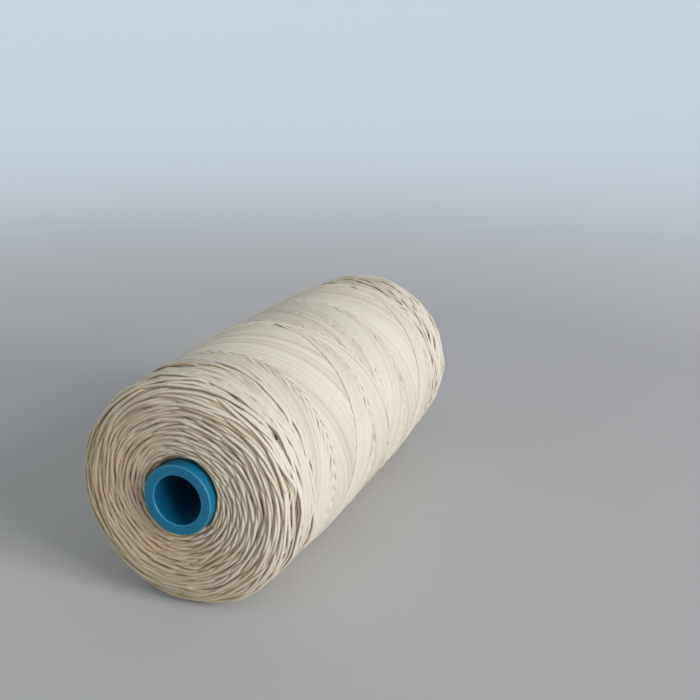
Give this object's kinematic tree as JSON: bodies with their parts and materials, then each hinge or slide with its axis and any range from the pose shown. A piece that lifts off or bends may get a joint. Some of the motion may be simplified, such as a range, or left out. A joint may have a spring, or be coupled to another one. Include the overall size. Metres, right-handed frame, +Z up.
{
  "type": "thread spool",
  "caption": "Package of waxed thread cross-wound on a plain open plastic tube, lying on its side, with flat wound end faces, rounded rims and the tube ends standing slightly proud.",
  "frame": {"origin": "on the ground below the middle of the spool, which lies on its side", "axes": "+Y along the spool's axis from the front end to the back end, +Z up"},
  "size_m": [0.08, 0.1786, 0.0796],
  "materials": {
    "tube_plastic": "smooth moulded blue plastic with a soft shine",
    "waxed_thread": "undyed plied thread with a thin coat of wax"
  },
  "bodies": {
    "root": {"core_tube": "tube_plastic", "inner_winding": "waxed_thread", "outer_winding": "waxed_thread", "front_end_winding": "waxed_thread", "back_end_winding": "waxed_thread"}
  },
  "joints": []
}
